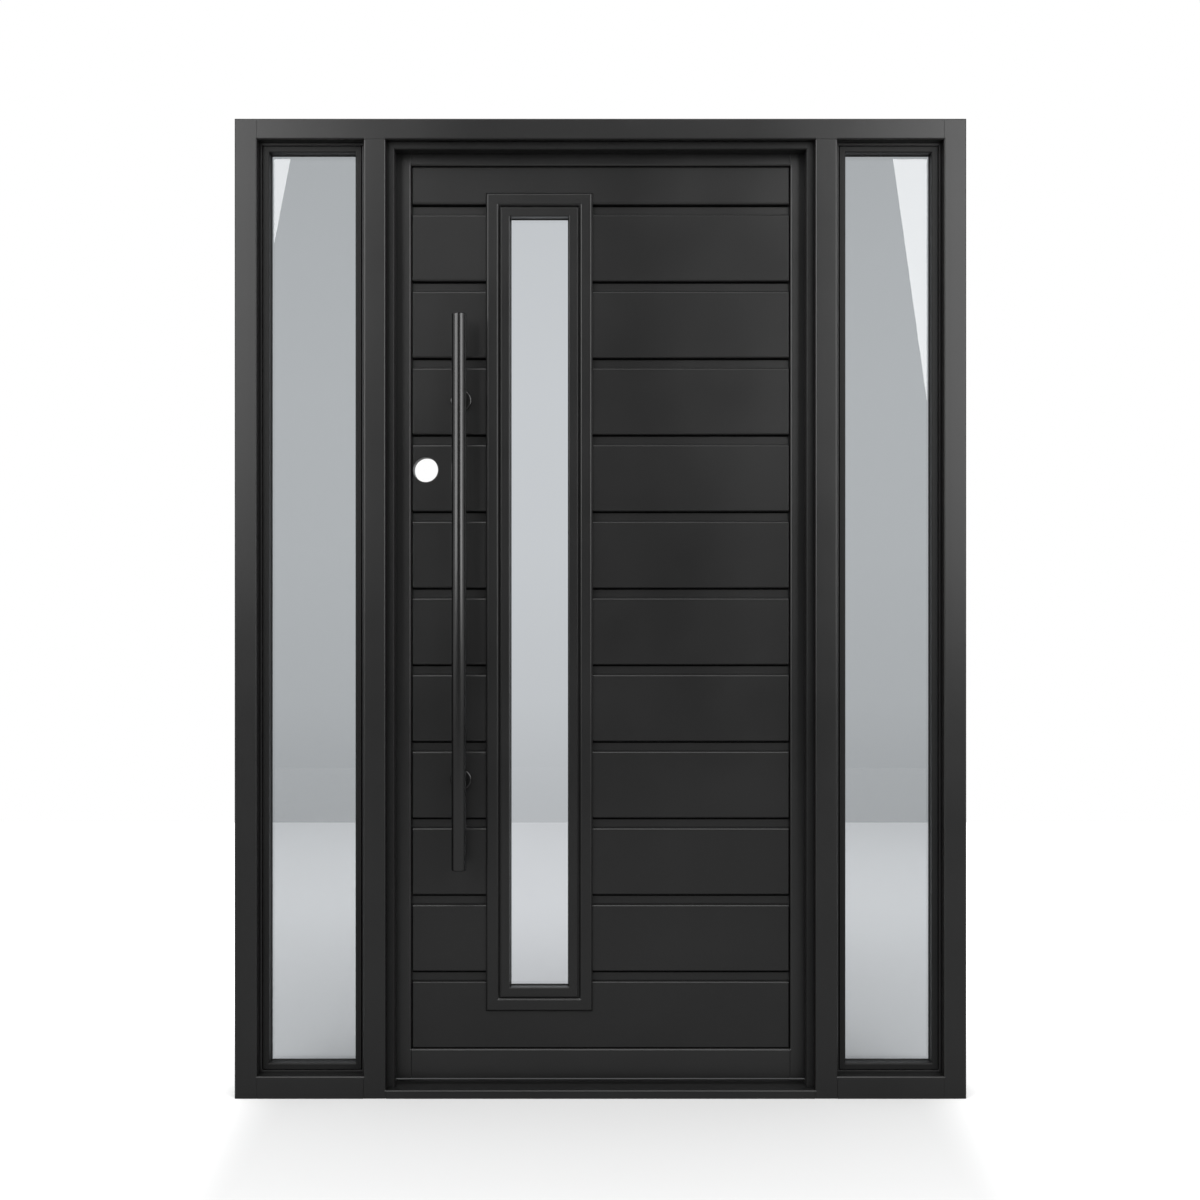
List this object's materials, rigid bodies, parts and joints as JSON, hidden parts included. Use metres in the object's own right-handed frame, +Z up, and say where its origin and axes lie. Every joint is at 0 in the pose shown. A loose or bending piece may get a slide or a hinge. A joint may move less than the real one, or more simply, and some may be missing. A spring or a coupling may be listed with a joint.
{
  "type": "entrance door with sidelights",
  "caption": "Black entrance door of horizontal planks with a tall glass panel and a long pull bar, hung between two narrow glazed sidelights in one frame.",
  "frame": {"origin": "middle of the frame's underside, on the sill's base", "axes": "+Z up, +X to the right seen from outside, +Y from outside to inside"},
  "size_m": [1.574, 0.1315, 2.108],
  "materials": {
    "black_steel": "satin black powder coat",
    "grey_glass": "polished, light grey",
    "seal_rubber": "matt",
    "bar_black": "smooth satin black",
    "hinge_steel": "satin black"
  },
  "bodies": {
    "frame": {"jamb_left": "black_steel", "jamb_right": "black_steel", "head": "black_steel", "mullion_left": "black_steel", "mullion_right": "black_steel", "sidelight_rail_left": "black_steel", "sidelight_rail_right": "black_steel", "threshold": "black_steel", "door_stop_left": "black_steel", "door_stop_right": "black_steel", "door_stop_head": "black_steel", "door_seal": "seal_rubber", "sidelight_sash_left": "black_steel", "sidelight_sash_right": "black_steel", "sidelight_bead_left": "black_steel", "sidelight_bead_right": "black_steel", "sidelight_glass_left": "grey_glass", "sidelight_glass_right": "grey_glass", "hinge_frame_plates": "hinge_steel", "hinge_pins": "hinge_steel"},
    "leaf": {"lock_stile": "black_steel", "hinge_stile": "black_steel", "top_rail": "black_steel", "bottom_rail": "black_steel", "core": "black_steel", "front_planks": "black_steel", "back_planks": "black_steel", "vision_trim_front": "black_steel", "vision_trim_back": "black_steel", "vision_bead_front": "black_steel", "vision_bead_back": "black_steel", "vision_glass": "grey_glass", "pull_bar": "bar_black", "pull_standoff_top": "bar_black", "pull_standoff_bottom": "bar_black", "bolt_caps": "bar_black", "hinge_leaf_plates": "hinge_steel"}
  },
  "joints": [
    {"name": "leaf_swing", "type": "hinge", "parent": "frame", "child": "leaf", "pos_m": [0.4595, 0.0615, 0], "axis": [0, 0, -1], "range_deg": [0, 110]}
  ]
}
